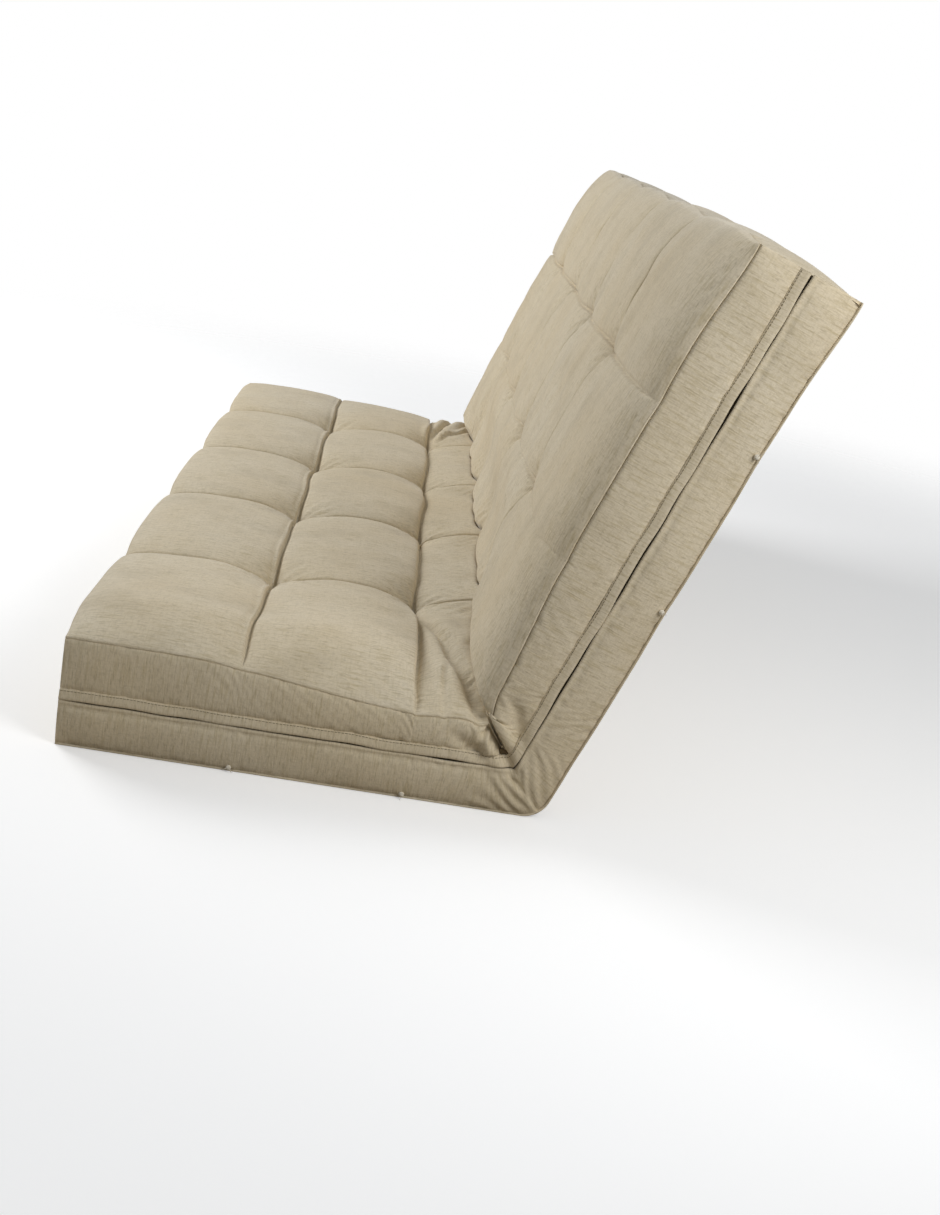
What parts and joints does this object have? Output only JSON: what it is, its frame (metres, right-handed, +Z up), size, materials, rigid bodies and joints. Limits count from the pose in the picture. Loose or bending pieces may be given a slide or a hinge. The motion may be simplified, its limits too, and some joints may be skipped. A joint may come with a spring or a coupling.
{
  "type": "futon mattress",
  "caption": "Full-size biscuit-tufted futon mattress folded once into a sofa shape, with boxed sides, through tufts, a flapped zip along one short end and a layered cotton and foam fill.",
  "frame": {"origin": "middle of the seat half's underside, on the plane it lies on", "axes": "+X along the 75 in length towards the zipped end, +Y from the seat's front edge towards the back, +Z up"},
  "size_m": [1.908, 0.8974, 0.7877],
  "materials": {
    "cover_fabric": "woven slub chenille, matte",
    "base_fabric": "woven slub chenille, matte",
    "flap_fabric": "woven slub chenille, folded double, matte",
    "cotton_batting": "felted cotton, fluffy",
    "foam": "open-cell foam, matte",
    "twine": "waxed cotton twine",
    "felt": "tufted cotton rosette, matte",
    "zip_teeth": "moulded teeth, satin",
    "zip_tape": "woven tape, matte",
    "zip_metal": "antique brass, satin"
  },
  "bodies": {
    "seat_half": {"seat_face_panel": "cover_fabric", "seat_base_panel": "base_fabric", "seat_front_band": "cover_fabric", "seat_far_band": "cover_fabric", "seat_near_upper_band": "cover_fabric", "seat_near_lower_band": "cover_fabric", "seat_zip_flap": "flap_fabric", "seat_bottom_batting": "cotton_batting", "seat_lower_foam": "foam", "seat_middle_batting": "cotton_batting", "seat_upper_foam": "foam", "seat_top_batting": "cotton_batting", "seat_tuft_twines": "twine", "seat_tuft_stitches": "twine", "seat_tuft_rosettes": "felt", "seat_thread_tails": "twine", "seat_zip_upper_teeth": "zip_teeth", "seat_zip_lower_teeth": "zip_teeth", "seat_zip_upper_tape": "zip_tape", "seat_zip_lower_tape": "zip_tape", "seat_zip_end_stop": "zip_metal"},
    "back_half": {"back_face_panel": "cover_fabric", "back_base_panel": "base_fabric", "back_top_band": "cover_fabric", "back_far_band": "cover_fabric", "back_near_upper_band": "cover_fabric", "back_near_lower_band": "cover_fabric", "back_zip_flap": "flap_fabric", "back_bottom_batting": "cotton_batting", "back_lower_foam": "foam", "back_middle_batting": "cotton_batting", "back_upper_foam": "foam", "back_top_batting": "cotton_batting", "back_tuft_twines": "twine", "back_tuft_stitches": "twine", "back_tuft_rosettes": "felt", "back_thread_tails": "twine", "back_zip_upper_teeth": "zip_teeth", "back_zip_lower_teeth": "zip_teeth", "back_zip_upper_tape": "zip_tape", "back_zip_lower_tape": "zip_tape", "back_zip_end_stop": "zip_metal"},
    "zip_slider": {"zip_slider": "zip_metal"},
    "zip_pull": {"zip_pull": "zip_metal"}
  },
  "joints": [
    {"name": "fold", "type": "hinge", "parent": "seat_half", "child": "back_half", "pos_m": [0, 0.3083, 0.037], "axis": [-1, 0, 0], "range_deg": [0, 71]},
    {"name": "zip_slide", "type": "slide", "parent": "seat_half", "child": "zip_slider", "axis": [0, 1, 0], "range_m": [0, 0.52]},
    {"name": "pull_hinge", "type": "hinge", "parent": "zip_slider", "child": "zip_pull", "pos_m": [0.9476, -0.2839, 0.068], "axis": [0, 0, 1], "range_deg": [-5, 0]}
  ]
}
